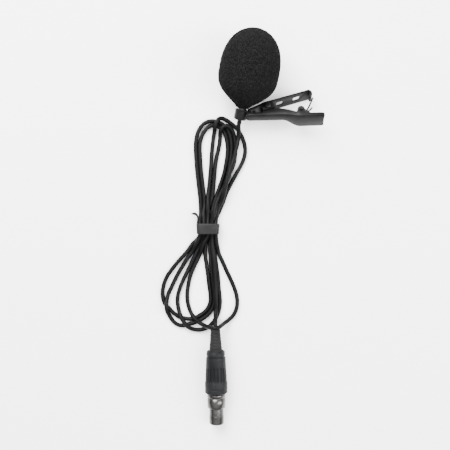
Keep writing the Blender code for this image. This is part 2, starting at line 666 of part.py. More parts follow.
# ---- plug ----
def make_plug(frame):
    """Local z runs from the cord towards the nose, and y points up."""
    cord_bore = CORD_R + GAP
    turned("plug_boot", [
        (BOOT_R[1], BOOT_LENGTH), (BOOT_R[1], SHELL_FROM + 0.4), (BOOT_R[1] - 0.3, SHELL_FROM - 0.2),
        (BOOT_R[0], 0.5), (BOOT_R[0] - 0.3, 0.0), (cord_bore, 0.0), (cord_bore, BOOT_LENGTH),
    ], black_rubber(), frame)
    shell_end = SHELL_FROM + SHELL_LENGTH
    bore = BOOT_R[1] + GAP
    turned("plug_back_shell", [
        (SHELL_R[1] - 0.3, shell_end), (SHELL_R[1], shell_end - 0.5), (SHELL_R[1], shell_end - 6.5),
        (SHELL_R[1] - 0.25, shell_end - 9.5), (SHELL_R[0] + 0.35, SHELL_FROM + 4.0),
        (SHELL_R[0] + 0.2, SHELL_FROM + 3.0), (SHELL_R[0] - 0.2, SHELL_FROM + 2.9),
        (SHELL_R[0] - 0.2, SHELL_FROM + 2.1), (SHELL_R[0] + 0.15, SHELL_FROM + 2.0),
        (SHELL_R[0], SHELL_FROM + 0.4), (SHELL_R[0] - 0.25, SHELL_FROM), (bore, SHELL_FROM),
        (bore, shell_end),
    ], black_plastic(), frame, steps=36)
    clamp_from = BOOT_LENGTH + GAP
    turned("plug_cable_clamp", [
        (bore - GAP, clamp_from + CLAMP_LENGTH), (bore - GAP, clamp_from),
        (cord_bore, clamp_from), (cord_bore, clamp_from + CLAMP_LENGTH),
    ], black_plastic(), frame)
    barrel_from = shell_end + GAP
    barrel_end = barrel_from + BARREL_LENGTH
    barrel = turned("plug_barrel", [
        (BARREL_R - 0.5, barrel_end), (BARREL_R, barrel_end - 0.5), (BARREL_R, barrel_from + 2.2),
        (BARREL_R - 0.18, barrel_from + 2.1), (BARREL_R - 0.18, barrel_from + 1.7),
        (BARREL_R, barrel_from + 1.6), (BARREL_R, barrel_from + 0.3), (BARREL_R - 0.2, barrel_from),
        (bore - GAP, barrel_from), (bore - GAP, barrel_from - THREAD_LENGTH),
        (BARREL_BORE, barrel_from - THREAD_LENGTH), (BARREL_BORE, barrel_end),
    ], plug_metal(), frame, steps=36)
    nose_from = barrel_end + GAP
    nose_end = nose_from + NOSE_LENGTH
    turned("plug_nose_sleeve", [
        (NOSE_R - 0.3, nose_end), (NOSE_R, nose_end - 0.4), (NOSE_R, nose_from + 3.6),
        (NOSE_R - 0.15, nose_from + 3.5), (NOSE_R - 0.15, nose_from),
        (NOSE_R - NOSE_WALL, nose_from), (NOSE_R - NOSE_WALL, nose_end),
    ], plug_metal(), frame, steps=32)
    insert_r = NOSE_R - NOSE_WALL - GAP
    insert_end = nose_end - 0.6
    insert = cylinder("plug_insert", insert_r, INSERT_LENGTH, (0.0, 0.0, insert_end - INSERT_LENGTH / 2),
                      black_plastic(), frame, segments=32)
    for number in range(CONTACT_COUNT):
        angle = math.tau * (number + 0.5) / CONTACT_COUNT
        place = (CONTACT_CIRCLE_R * math.cos(angle), CONTACT_CIRCLE_R * math.sin(angle))
        hole = cylinder(f"contact_hole_{number + 1}", CONTACT_R + PIN_PLAY, 2 * INSERT_LENGTH,
                        (*place, insert_end - INSERT_LENGTH / 2), None, frame, cutter=True, segments=16)
        combine(insert, hole, "DIFFERENCE")
        cylinder(f"plug_contact_{number + 1}", CONTACT_R, CONTACT_LENGTH,
                 (*place, insert_end - 0.5 - CONTACT_LENGTH / 2), gold(), frame, segments=16)
    make_latch(frame, barrel, barrel_from)


def make_latch(frame, barrel, barrel_from):
    """A press tab let into the underside of the barrel, and the leaf spring under it."""
    wide, thick, long = LATCH_SIZE
    start = barrel_from + LATCH_SET_BACK
    depth = -(BARREL_R - thick / 2 - 0.1)
    pocket = block("latch_pocket", (wide + 2 * GAP, 2 * thick + 2.0, long + 2 * GAP),
                   (0.0, depth - 0.6, start + long / 2), None, frame, cutter=True)
    combine(barrel, pocket, "DIFFERENCE")
    latch_frame = add_frame("latch_pivot",
                            Matrix.Translation(Vector((0.0, depth, start + 0.5)) * MM), frame)
    block("plug_latch", (wide, thick, long), (0.0, 0.0, long / 2 - 0.5), plug_metal(), latch_frame,
          bevel=0.15)
    rise = -BARREL_BORE + GAP + 0.3
    leaf = [(0.0, rise, start + 0.6), (0.0, rise + 0.05, start + 2.0), (0.0, rise + 0.35, start + 3.4),
            (0.0, rise + 0.3, start + 4.4)]
    rows = [[(-LEAF_WIDTH / 2, y, z), (LEAF_WIDTH / 2, y, z)] for _, y, z in leaf]
    bent_sheet("latch_spring", rows, 0.2, plug_metal(), frame)


clear_scene()
part_collection = new_collection("lavalier_microphone")
cutter_collection = new_collection("cutters")
layout = add_frame("layout", Matrix.Translation(Vector(LAYOUT_SHIFT) * MM))
make_parts()
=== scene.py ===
# %% [markdown]
# # A lavalier microphone, looked at from above
# The microphone lies on a pale table: a foam windscreen and a tie clip at the top, a thin cord
# wound into a hank with a strap round its waist, and a small locking plug at the bottom.
# The frame holds every rigid piece at its true place, so this lesson adds what a frame can't
# hold: the cord's real path, the open cells of the foam and the finish of each surface.

# %% Load the frame
import json
import math

import bmesh
import bpy
import numpy as np
from mathutils import Matrix, Vector


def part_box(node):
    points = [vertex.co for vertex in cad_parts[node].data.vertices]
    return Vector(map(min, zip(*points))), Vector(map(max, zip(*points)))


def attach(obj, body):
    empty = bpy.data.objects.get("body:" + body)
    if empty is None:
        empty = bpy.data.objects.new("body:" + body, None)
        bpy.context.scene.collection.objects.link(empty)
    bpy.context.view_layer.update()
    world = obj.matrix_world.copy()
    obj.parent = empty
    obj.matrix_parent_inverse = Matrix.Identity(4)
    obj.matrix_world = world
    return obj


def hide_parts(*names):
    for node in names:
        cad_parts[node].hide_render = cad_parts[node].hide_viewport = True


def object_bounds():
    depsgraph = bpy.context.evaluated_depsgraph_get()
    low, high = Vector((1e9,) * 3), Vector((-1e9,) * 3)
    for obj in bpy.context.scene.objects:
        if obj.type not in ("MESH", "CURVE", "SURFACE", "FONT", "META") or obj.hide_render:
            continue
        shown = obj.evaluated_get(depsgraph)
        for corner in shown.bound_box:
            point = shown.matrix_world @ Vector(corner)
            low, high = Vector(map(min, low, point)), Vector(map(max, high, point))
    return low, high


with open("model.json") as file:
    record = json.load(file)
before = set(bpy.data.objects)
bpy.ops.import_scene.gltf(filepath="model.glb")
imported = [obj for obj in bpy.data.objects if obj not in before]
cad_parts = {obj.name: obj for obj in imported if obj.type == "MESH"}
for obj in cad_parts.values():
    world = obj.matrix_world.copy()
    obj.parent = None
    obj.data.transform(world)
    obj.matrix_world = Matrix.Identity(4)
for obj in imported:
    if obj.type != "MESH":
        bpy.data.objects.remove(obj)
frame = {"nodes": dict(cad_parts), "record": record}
cad_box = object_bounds()
MM = 0.001
JOINTS = {joint["name"]: joint for joint in frame["record"]["behaviour"]["joints"]}
print("frame box in mm:", [[round(v / MM, 1) for v in corner] for corner in cad_box])

# %% [markdown]
# ## Camera, table and light
# A camera straight above a flat lay keeps the outline true. At 400 mm it stands close enough
# that the windscreen, which is tall, spreads a little towards the edge, as it does to the eye.

# %% Camera and light
CAMERA_HEIGHT = 400 * MM
CAMERA_SPREAD = math.radians(32.42)
CAMERA_OFFSET = Vector((-8.9, 2.25)) * MM


def middle_of(box):
    return (Vector(box[0]) + Vector(box[1])) / 2


def add_camera():
    centre = middle_of(cad_box)
    data = bpy.data.cameras.new("camera")
    data.angle = CAMERA_SPREAD
    data.clip_start = 0.01
    camera = bpy.data.objects.new("camera", data)
    bpy.context.scene.collection.objects.link(camera)
    camera.location = (centre.x + CAMERA_OFFSET.x, centre.y + CAMERA_OFFSET.y, CAMERA_HEIGHT)
    bpy.context.scene.camera = camera
    return camera


def add_softbox(name, place, size, power):
    data = bpy.data.lights.new(name, "AREA")
    data.shape = "RECTANGLE"
    data.size, data.size_y = size
    data.energy = power
    lamp = bpy.data.objects.new(name, data)
    bpy.context.scene.collection.objects.link(lamp)
    lamp.location = place
    aim = middle_of(cad_box) - Vector(place)
    lamp.rotation_euler = aim.to_track_quat("-Z", "Y").to_euler()
    return lamp


def add_table():
    mesh = bpy.data.meshes.new("table")
    form = bmesh.new()
    bmesh.ops.create_grid(form, x_segments=1, y_segments=1, size=1.5)
    bmesh.ops.translate(form, vec=(0, 0, -0.0001), verts=form.verts)
    form.to_mesh(mesh)
    form.free()
    table = bpy.data.objects.new("table", mesh)
    bpy.context.scene.collection.objects.link(table)
    material = bpy.data.materials.new("pale_table")
    material.use_nodes = True
    shader = material.node_tree.nodes["Principled BSDF"]
    shader.inputs["Base Color"].default_value = (0.97, 0.97, 0.97, 1.0)
    shader.inputs["Roughness"].default_value = 0.9
    shader.inputs["Specular IOR Level"].default_value = 0.1
    mesh.materials.append(material)


def add_world(strength, horizon):
    """A soft dome, bright overhead and dimmer at the sides, which gives round pieces a form."""
    world = bpy.data.worlds.new("studio")
    world.use_nodes = True
    tree = world.node_tree
    sky = tree.nodes["Background"]
    sky.inputs["Strength"].default_value = strength
    place = tree.nodes.new("ShaderNodeTexCoord")
    split = tree.nodes.new("ShaderNodeSeparateXYZ")
    ramp = tree.nodes.new("ShaderNodeValToRGB")
    ramp.color_ramp.elements[0].position = 0.25
    ramp.color_ramp.elements[0].color = (horizon, horizon, horizon, 1.0)
    ramp.color_ramp.elements[1].position = 0.95
    tree.links.new(place.outputs["Generated"], split.inputs["Vector"])
    tree.links.new(split.outputs["Z"], ramp.inputs["Fac"])
    tree.links.new(ramp.outputs["Color"], sky.inputs["Color"])
    bpy.context.scene.world = world


add_camera()
add_table()
add_world(3.0, 0.2)
add_softbox("softbox_top", (-0.25, 0.35, 0.55), (0.5, 0.5), 24.0)
add_softbox("softbox_side", (0.45, -0.1, 0.5), (0.3, 0.6), 9.0)
print("camera above", [round(v / MM, 1) for v in bpy.context.scene.camera.location])

# %% [markdown]
# ## Finishes
# Everything here is nearly black, so the pieces are told apart by how they shine: foam drinks
# the light, rubber gives a soft streak, enamel a crisper one and nickel mirrors the room.
# A small helper builds each finish from a shader, a fine bump and a roughness that varies.

# %% Finish helpers
def link(tree, start, end):
    tree.links.new(start, end)


def new_finish(name, roughness, metallic=0.0, specular=0.5):
    material = bpy.data.materials.new(name)
    material.use_nodes = True
    tree = material.node_tree
    shader = tree.nodes["Principled BSDF"]
    shader.inputs["Roughness"].default_value = roughness
    shader.inputs["Metallic"].default_value = metallic
    shader.inputs["Specular IOR Level"].default_value = specular
    return material, tree, shader


def grain(tree, scale, detail=4.0, stretch=(1.0, 1.0, 1.0)):
    """Noise read in Object coordinates; stretch scales each axis."""
    place = tree.nodes.new("ShaderNodeTexCoord")
    mapping = tree.nodes.new("ShaderNodeMapping")
    mapping.inputs["Scale"].default_value = stretch
    link(tree, place.outputs["Object"], mapping.inputs["Vector"])
    noise = tree.nodes.new("ShaderNodeTexNoise")
    noise.inputs["Scale"].default_value = scale
    noise.inputs["Detail"].default_value = detail
    link(tree, mapping.outputs["Vector"], noise.inputs["Vector"])
    return noise.outputs["Fac"]


def vary_roughness(tree, shader, source, low, high):
    spread = tree.nodes.new("ShaderNodeMapRange")
    spread.inputs["From Min"].default_value = 0.3
    spread.inputs["From Max"].default_value = 0.7
    spread.inputs["To Min"].default_value = low
    spread.inputs["To Max"].default_value = high
    link(tree, source, spread.inputs["Value"])
    link(tree, spread.outputs["Result"], shader.inputs["Roughness"])


def vary_colour(tree, shader, source, dark, light, low=0.35, high=0.65):
    ramp = tree.nodes.new("ShaderNodeValToRGB")
    ramp.color_ramp.elements[0].position = low
    ramp.color_ramp.elements[0].color = (*dark, 1.0)
    ramp.color_ramp.elements[1].position = high
    ramp.color_ramp.elements[1].color = (*light, 1.0)
    link(tree, source, ramp.inputs["Fac"])
    link(tree, ramp.outputs["Color"], shader.inputs["Base Color"])


def add_bump(tree, shader, source, strength, distance):
    bump = tree.nodes.new("ShaderNodeBump")
    bump.inputs["Strength"].default_value = strength
    bump.inputs["Distance"].default_value = distance
    link(tree, source, bump.inputs["Height"])
    link(tree, bump.outputs["Normal"], shader.inputs["Normal"])


def shade(value, warm=0.0):
    return (value * (1.0 + warm), value, value * (1.0 - warm))


def simple_finish(name, dark, light, roughness, specular, scale, depth, metallic=0.0,
                  stretch=(1.0, 1.0, 1.0), warm=0.0):
    """A finish whose colour, roughness and relief all follow one grain."""
    material, tree, shader = new_finish(name, roughness[0], metallic, specular)
    fine = grain(tree, scale, stretch=stretch)
    broad = grain(tree, scale / 12.0, 2.0)
    vary_colour(tree, shader, broad, shade(dark, warm), shade(light, warm))
    vary_roughness(tree, shader, fine, *roughness)
    add_bump(tree, shader, fine, 0.35, depth)
    return material


print("finish helpers ready")

# %% [markdown]
# ### One finish for each stuff
# The cord's jacket is smooth vinyl with a slight drag pattern; the boot and relief are a duller
# rubber. The clip is steel with a satin black coat. The back shell and the strap are moulded
# nylon, a little slate in tone, and the plug's barrel and nose are dull nickel, turned on a
# lathe, so its grain runs in fine rings.

# %% Make the finishes
CORD_VINYL = simple_finish("cord_vinyl", 0.0015, 0.003, (0.42, 0.55), 0.07, 900.0, 0.00004)
BOOT_RUBBER = simple_finish("boot_rubber", 0.004, 0.009, (0.5, 0.68), 0.06, 1400.0, 0.00005)
CLIP_COAT = simple_finish("clip_satin_coat", 0.003, 0.006, (0.34, 0.46), 0.09, 2200.0, 0.00002)
MIC_COAT = simple_finish("microphone_coat", 0.004, 0.008, (0.2, 0.3), 0.4, 2600.0, 0.00001)
SHELL_NYLON = simple_finish("shell_nylon", 0.0035, 0.007, (0.4, 0.54), 0.08, 1800.0, 0.00003,
                            warm=-0.08)
STRAP_NYLON = simple_finish("strap_nylon", 0.007, 0.013, (0.42, 0.58), 0.08, 1500.0, 0.00003)
DARK_STEEL = simple_finish("dark_steel", 0.015, 0.03, (0.3, 0.45), 0.5, 2400.0, 0.00001, metallic=0.8)
NICKEL = simple_finish("dull_nickel", 0.032, 0.075, (0.2, 0.32), 0.5, 900.0, 0.00001,
                       metallic=1.0, stretch=(1.0, 14.0, 1.0), warm=0.03)
GOLD_PLATE = simple_finish("gold_plate", 0.55, 0.7, (0.18, 0.3), 0.5, 2000.0, 0.00001,
                           metallic=1.0, warm=0.4)
BOARD_GREEN, board_tree, board_shader = new_finish("board_green", 0.4)
vary_colour(board_tree, board_shader, grain(board_tree, 1500.0), (0.01, 0.08, 0.03), (0.02, 0.12, 0.05))


def foam_finish():
    """Open-cell foam: colour painted darker in the pits and paler on the struts between them, a painted
    shade in the hollows.
    """
    material, tree, shader = new_finish("foam_open_cell", 0.95, specular=0.02)
    place = tree.nodes.new("ShaderNodeTexCoord")
    cells = tree.nodes.new("ShaderNodeTexVoronoi")
    cells.inputs["Scale"].default_value = 1500.0
    link(tree, place.outputs["Object"], cells.inputs["Vector"])
    # painted shade: the colour is darkest at the middle of each cell, where a pit's shade falls, and paler
    # towards the struts
    vary_colour(tree, shader, cells.outputs["Distance"], shade(0.0012), shade(0.007), 0.15, 0.75)
    add_bump(tree, shader, cells.outputs["Distance"], 0.8, 0.0004)
    return material


FOAM = foam_finish()
print("finishes:", [material.name for material in bpy.data.materials if material.use_nodes])

# %% [markdown]
# ## The cord
# About 1.1 m of a 2.2 mm cord is folded into four long turns and tied at its waist. A coil
# could be a helix, but a hand-wound hank isn't regular, so each turn is a few chosen places.
# The route is then settled: every stretch sinks until it meets the table or a strand under
# it, strands that touch push each other apart, and a little stiffness evens out the bends.

# %% Route of the cord
CORD_DIAMETER = 2.2 * MM
CORD_R = CORD_DIAMETER / 2 / MM
LEAD_IN = [
    (-16.0, -26.0), (-16.6, -30.1), (-17.2, -33.4), (-18.1, -37.2), (-19.0, -41.1),
    (-20.3, -45.2), (-21.7, -49.8), (-23.1, -54.7), (-25.0, -60.5), (-27.2, -66.2),
]
TOP_TURNS = [
    [(-31.6, -63.2), (-30.7, -51.4), (-30.2, -40.1), (-29.6, -32.9), (-28.8, -26.7), (-27.9, -22.0),
     (-26.5, -19.4), (-24.6, -18.4), (-22.0, -19.8), (-19.4, -21.7), (-16.9, -24.0), (-14.3, -28.2),
     (-12.9, -32.9), (-12.8, -36.5), (-13.9, -40.7), (-16.0, -44.9), (-18.7, -49.8), (-21.7, -55.5),
     (-24.7, -61.6)],
    [(-34.2, -62.1), (-35.2, -51.4), (-36.0, -43.2), (-36.3, -36.0), (-36.1, -31.6), (-34.9, -27.5),
     (-32.9, -24.3), (-30.3, -22.3), (-27.6, -22.3), (-25.0, -23.8), (-22.8, -26.4), (-21.6, -30.1),
     (-21.2, -34.4), (-21.6, -39.6), (-22.6, -45.2), (-24.3, -50.9), (-26.3, -57.0), (-28.5, -63.7)],
    [(-35.2, -62.1), (-36.5, -51.4), (-37.4, -42.7), (-38.0, -35.0), (-38.0, -30.1), (-37.0, -25.6),
     (-34.9, -22.3), (-32.1, -20.3), (-29.0, -20.1), (-26.1, -21.0), (-23.3, -22.7), (-21.2, -25.2),
     (-20.0, -28.8), (-19.4, -33.4), (-19.8, -38.5), (-20.8, -44.2), (-22.5, -49.8), (-24.7, -56.0),
     (-27.0, -63.2)],
    [(-30.8, -63.2), (-29.8, -55.5), (-28.6, -46.8), (-27.7, -40.1), (-26.6, -35.0), (-25.8, -30.9),
     (-25.6, -27.3), (-24.9, -24.2), (-23.1, -22.5), (-21.1, -23.4), (-19.5, -25.9), (-18.4, -30.3),
     (-18.2, -35.0), (-18.8, -40.1), (-20.2, -45.2), (-22.1, -50.9), (-24.6, -56.5), (-27.5, -63.7)],
]
BOTTOM_TURNS = [
    [(-27.2, -86.3), (-24.8, -91.4), (-22.6, -96.5), (-19.9, -102.2), (-17.8, -107.5), (-16.9, -111.6),
     (-17.0, -115.7), (-18.8, -120.0), (-22.2, -123.1), (-26.5, -125.1), (-30.9, -125.5), (-34.6, -124.5),
     (-37.9, -122.2), (-40.5, -118.9), (-42.0, -114.9), (-42.6, -110.5), (-42.3, -106.1), (-41.0, -99.9),
     (-38.4, -93.1), (-36.0, -86.8)],
    [(-28.6, -87.3), (-27.6, -95.0), (-26.8, -102.2), (-26.1, -107.8), (-25.7, -111.9), (-25.9, -115.7),
     (-27.0, -119.7), (-29.0, -123.3), (-31.6, -126.0), (-34.7, -127.3), (-38.0, -127.5), (-41.5, -126.1),
     (-44.3, -123.2), (-46.3, -119.3), (-47.4, -114.9), (-47.5, -110.5), (-46.3, -106.0), (-43.9, -100.1),
     (-40.2, -93.2), (-37.0, -86.8)],
    [(-30.5, -87.3), (-30.4, -94.5), (-29.7, -101.6), (-29.0, -107.0), (-28.8, -111.4), (-29.4, -114.8),
     (-31.1, -117.8), (-33.6, -120.5), (-36.7, -122.6), (-40.3, -124.3), (-44.7, -125.4), (-48.3, -124.4),
     (-51.0, -121.4), (-52.6, -117.9), (-53.2, -114.0), (-52.8, -110.4), (-50.9, -106.0), (-47.9, -99.8),
     (-44.0, -93.1), (-39.6, -86.3)],
    [(-33.3, -87.8), (-32.5, -95.0), (-31.1, -101.6), (-30.2, -106.3), (-29.8, -110.6), (-30.4, -114.6),
     (-32.7, -118.2), (-37.2, -121.0), (-41.9, -121.9), (-47.1, -120.4), (-51.1, -117.5), (-53.7, -114.3),
     (-55.1, -110.7), (-55.2, -106.8), (-53.5, -101.0), (-50.1, -95.9), (-46.5, -91.5), (-41.8, -86.3)],
]
LEAD_OUT = [(-29.3, -86.3), (-28.4, -94.5), (-28.0, -103.7), (-27.8, -111.9), (-27.9, -118.1)]
# How high each stretch runs, in layers from the table, at seven even places along it.
TOP_LAYERS = (
    (1.0, 0.0, 2.6, 1.5, 0.0, 0.0, 0.5),
    (1.0, 1.0, 1.0, 1.0, 1.0, 1.0, 1.0),
    (0.5, 0.0, 0.0, 0.0, 0.0, 0.0, 0.0),
    (0.0, 0.0, 1.0, 2.2, 2.0, 2.0, 1.2),
)
BOTTOM_LAYERS = (
    (1.2, 0.5, 1.5, 4.3, 3.0, 1.0, 1.0),
    (0.3, 0.3, 0.4, 1.0, 2.0, 1.0, 1.0),
    (0.2, 0.0, 0.0, 0.0, 1.2, 0.6, 1.0),
    (0.0, 0.0, 0.0, 0.0, 0.0, 0.0, 0.0),
)
LEAD_IN_LAYERS = (2.2, 2.4, 2.4, 2.3, 2.2, 2.2, 2.0)
LEAD_OUT_LAYERS = (1.3, 1.3, 1.6, 2.0, 2.4, 2.9, 3.1)
# Where the nine strands sit in the tie: sideways from its middle, and the layer.
LEFT_SEATS = ((0.0, 1), (-1.95, 1), (-3.9, 1), (-3.3, 0))
RIGHT_SEATS = ((3.9, 1), (3.3, 0), (1.1, 0), (-1.1, 0), (1.95, 1))
SEAT_STEP = 1.9


def layer_height(layer):
    return CORD_R + 0.2 + layer * (2 * CORD_R + 0.05)


def seat(side, index, tie_middle, tie_floor):
    shift, layer = side[index]
    height = tie_floor + CORD_R + 0.1 + layer * SEAT_STEP
    return [(tie_middle.x / MM + shift, tie_middle.y / MM + run, height) for run in (2.8, 0.0, -2.8)]


def lifted(places, layers):
    spots = np.linspace(0, 1, len(places))
    heights = np.interp(spots, np.linspace(0, 1, len(layers)), layers)
    return [(x, y, layer_height(h)) for (x, y), h in zip(places, heights)]


def joined_route(exit_run, entry_run, tie_middle, tie_floor):
    """The whole route, from the microphone to the plug, as one list of places in mm."""
    route = list(exit_run) + lifted(LEAD_IN, LEAD_IN_LAYERS)[1:]
    for turn in range(4):
        route += seat(RIGHT_SEATS, turn, tie_middle, tie_floor)
        route += lifted(BOTTOM_TURNS[turn], BOTTOM_LAYERS[turn])
        route += seat(LEFT_SEATS, turn, tie_middle, tie_floor)[::-1]
        route += lifted(TOP_TURNS[turn], TOP_LAYERS[turn])
    route += seat(RIGHT_SEATS, 4, tie_middle, tie_floor)
    route += lifted(LEAD_OUT, LEAD_OUT_LAYERS)
    return route + list(entry_run)


relief_joint = JOINTS["mic_turn"]
MIC_ORIGIN = Vector(relief_joint["pos_m"])
MIC_AXIS = Vector(relief_joint["axis"]).normalized()
RELIEF_LENGTH = 2.2 * MM
cord_exit = MIC_ORIGIN - MIC_AXIS * RELIEF_LENGTH
tie_low, tie_high = (Vector(corner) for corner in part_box("cord_tie"))
tie_centre = (tie_low + tie_high) / 2
PLUG_FACE = next(m for m in frame["record"]["mounts"] if m["name"] == "plug_front_face")
PLUG_AXIS = Vector(PLUG_FACE["axis"]).normalized()
PLUG_REACH = 48.2 * MM
PLUG_ORIGIN = Vector(PLUG_FACE["pos_m"]) - PLUG_AXIS * PLUG_REACH
print("cord leaves at", [round(v / MM, 2) for v in cord_exit], "plug axis", [round(v, 3) for v in PLUG_AXIS])

# %% Settle the cord
SAMPLE = 1.2
SETTLE_STEPS = 300
SIDEWAYS = 0.45
SINK = 0.05
HOLD, HOLD_IN_TIE = 0.1, 0.4
STIFFNESS, FLATNESS = 0.6, 0.3
PUSH, PUSH_GAIN, PUSH_ROUNDS = 0.35, 1.4, 3
NEIGHBOURS = 7
TIE_HALF = 2.6


def resample(points, spacing):
    """Evenly spaced places along a smooth curve through the points."""
    p = np.asarray(points, float)
    before = np.vstack([2 * p[0] - p[1], p[:-1]])
    after = np.vstack([p[1:], 2 * p[-1] - p[-2]])
    slope = (after - before) / 2
    t = np.linspace(0, 1, 12, endpoint=False)[:, None]
    fine = []
    for a, b, sa, sb in zip(p[:-1], p[1:], slope[:-1], slope[1:]):
        fine.append((2 * t**3 - 3 * t**2 + 1) * a + (t**3 - 2 * t**2 + t) * sa
                    + (3 * t**2 - 2 * t**3) * b + (t**3 - t**2) * sb)
    fine = np.vstack(fine + [p[-1:]])
    run = np.concatenate([[0], np.cumsum(np.linalg.norm(np.diff(fine, axis=0), axis=1))])
    count = int(round(run[-1] / spacing)) + 1
    even = np.linspace(0, run[-1], count)
    return np.column_stack([np.interp(even, run, fine[:, k]) for k in range(3)])


def settle(points, pinned, held, floor):
    """Gravity, contact and a little stiffness, on places a fixed distance apart."""
    home = points.copy()
    p = points.copy()
    count = len(p)
    reach = 2 * CORD_R
    free = ~pinned
    hold = np.where(held, HOLD_IN_TIE, HOLD)[:, None]
    for _ in range(SETTLE_STEPS):
        p[free, 2] -= SINK
        mean = p.copy()
        mean[1:-1] = (p[:-2] + p[2:]) / 2
        wide = p.copy()
        wide[2:-2] = (4 * (p[1:-3] + p[3:-1]) - p[:-4] - p[4:]) / 6
        p[free] += STIFFNESS * (wide - p)[free]
        p[:, 2][free] += FLATNESS * (mean - p)[:, 2][free]
        p[:, :2] += hold * (home - p)[:, :2]
        p[held, 2] += 0.5 * (home - p)[held, 2]
        for _ in range(PUSH_ROUNDS):
            square = (p * p).sum(1)
            gap = square[:, None] + square[None, :] - 2 * p @ p.T
            first, second = np.nonzero(np.triu(gap < reach * reach, NEIGHBOURS))
            if len(first) == 0:
                break
            between = p[first] - p[second]
            distance = np.maximum(np.linalg.norm(between, axis=1), 1e-6)
            push = between / distance[:, None] * ((reach - distance) * PUSH)[:, None]
            push[:, :2] *= SIDEWAYS
            move = np.zeros_like(p)
            tally = np.zeros(count)
            np.add.at(move, first, push)
            np.add.at(move, second, -push)
            np.add.at(tally, first, 1)
            np.add.at(tally, second, 1)
            p[free] += (move / np.maximum(tally, 1.0)[:, None] * PUSH_GAIN)[free]
            p[:, 2] = np.maximum(p[:, 2], floor)
        p[pinned] = home[pinned]
    return p


def settled_cord():
    start = np.array(cord_exit) / MM
    away = -np.array(MIC_AXIS)
    entry = np.array(PLUG_ORIGIN) / MM
    inward = np.array(PLUG_AXIS)
    exit_run = [start, start + away * 1.6 + np.array((0, 0, 0.2)), (*LEAD_IN[0], 5.3)]
    entry_run = [entry - inward * 3.5, entry, entry + inward * 4.0]
    tie_floor = tie_low.z / MM + 0.9
    route = joined_route(exit_run, entry_run, tie_centre, tie_floor)
    points = resample(route, SAMPLE)
    middle = np.array(tie_centre) / MM
    in_tie = (abs(points[:, 1] - middle[1]) < TIE_HALF)
    pinned = np.zeros(len(points), bool)
    pinned[:3] = True
    pinned[-6:] = True
    return settle(points, pinned, in_tie, CORD_R)


cord_path = settled_cord()

# %% Make the cord
def add_cord(name, path, diameter, material):
    curve = bpy.data.curves.new(name, "CURVE")
    curve.dimensions = "3D"
    curve.bevel_depth = diameter / 2
    curve.bevel_resolution = 4
    curve.use_fill_caps = True
    spline = curve.splines.new("POLY")
    spline.points.add(len(path) - 1)
    for spot, place in zip(spline.points, path):
        spot.co = (*(place * MM), 1.0)
    spline.use_smooth = True
    cord = bpy.data.objects.new(name, curve)
    bpy.context.scene.collection.objects.link(cord)
    curve.materials.append(material)
    return cord


ROOT = "clip_top"
cord = add_cord("cord", cord_path, CORD_DIAMETER, CORD_VINYL)
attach(cord, ROOT)
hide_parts("cord_lead", "cord_hank")
print("cord made:", cord.name)

# %% [markdown]
# ## Turned pieces
# The windscreen, the microphone and the plug are all round, so each is a profile spun about
# its own axis. A Screw modifier could do it; here the rings are laid out one by one, because then
# a second rule can press grooves into the side as it goes round.

# %% Spin a profile
def upright(axis):
    """A turn that takes local z to the axis and keeps local y as near up as it can."""
    z = Vector(axis).normalized()
    y = (Vector((0.0, 0.0, 1.0)) - z * z.z).normalized()
    x = y.cross(z)
    return Matrix((x, y, z)).transposed().to_4x4()


MIC_FRAME = Matrix.Translation(MIC_ORIGIN) @ upright(MIC_AXIS)
PLUG_FRAME = Matrix.Translation(PLUG_ORIGIN) @ upright(PLUG_AXIS)


MERGE = 1e-4


def place_mesh(name, form, where, finish, sharp=35.0):
    """Turns a bmesh made in mm into an object whose place is in its mesh."""
    bmesh.ops.remove_doubles(form, verts=form.verts, dist=MERGE)
    bmesh.ops.recalc_face_normals(form, faces=form.faces)
    bmesh.ops.transform(form, matrix=where @ Matrix.Scale(MM, 4), verts=form.verts)
    mesh = bpy.data.meshes.new(name)
    form.to_mesh(mesh)
    form.free()
    mesh.shade_smooth()
    mesh.set_sharp_from_angle(angle=math.radians(sharp))
    mesh.materials.append(finish)
    piece = bpy.data.objects.new(name, mesh)
    bpy.context.scene.collection.objects.link(piece)
    return piece


def join_rings(form, pairs):
    """Four-sided faces between the rings of each pair."""
    for near, far in pairs:
        for k in range(len(near)):
            after = (k + 1) % len(near)
            form.faces.new((near[k], near[after], far[after], far[k]))


def cap_ends(form, rings):
    form.faces.new(rings[0])
    form.faces.new(rings[-1])


def spin(profile, steps, press=None):
    """Rings of (radius, height) points; a profile that starts off the axis closes on itself."""
    form = bmesh.new()
    rings = []
    for radius, height in profile:
        ring = []
        for k in range(steps):
            angle = math.tau * k / steps
            r = radius - press(angle, height, radius) if press and radius > 0.0 else radius
            ring.append(form.verts.new((r * math.cos(angle), r * math.sin(angle), height)))
        rings.append(ring)
    loop = list(zip(rings[:-1], rings[1:]))
    if profile[0][0] > 0.0:
        loop.append((rings[-1], rings[0]))
    join_rings(form, loop)
    bmesh.ops.remove_doubles(form, verts=form.verts, dist=MERGE)
    bmesh.ops.dissolve_degenerate(form, dist=1e-5, edges=form.edges)
    return form


def eased(profile, radius=0.12, parts=3):
    """Rounds each corner of an open profile a little, so its edges catch the light."""
    done = [profile[0]]
    for before, corner, after in zip(profile[:-2], profile[1:-1], profile[2:]):
        c = Vector(corner)
        to_before, to_after = Vector(before) - c, Vector(after) - c
        reach = min(radius, to_before.length * 0.45, to_after.length * 0.45)
        start = c + to_before.normalized() * reach
        end = c + to_after.normalized() * reach
        for k in range(parts + 1):
            t = k / parts
            done.append(tuple(start * (1 - t) ** 2 + c * 2 * t * (1 - t) + end * t * t))
    return done + [profile[-1]]


def stand_for(piece, body, slot_name, *nodes):
    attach(piece, body)
    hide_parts(*nodes)
    return piece


print("the microphone leans", round(math.degrees(math.asin(MIC_AXIS.z)), 1), "degrees off the table")

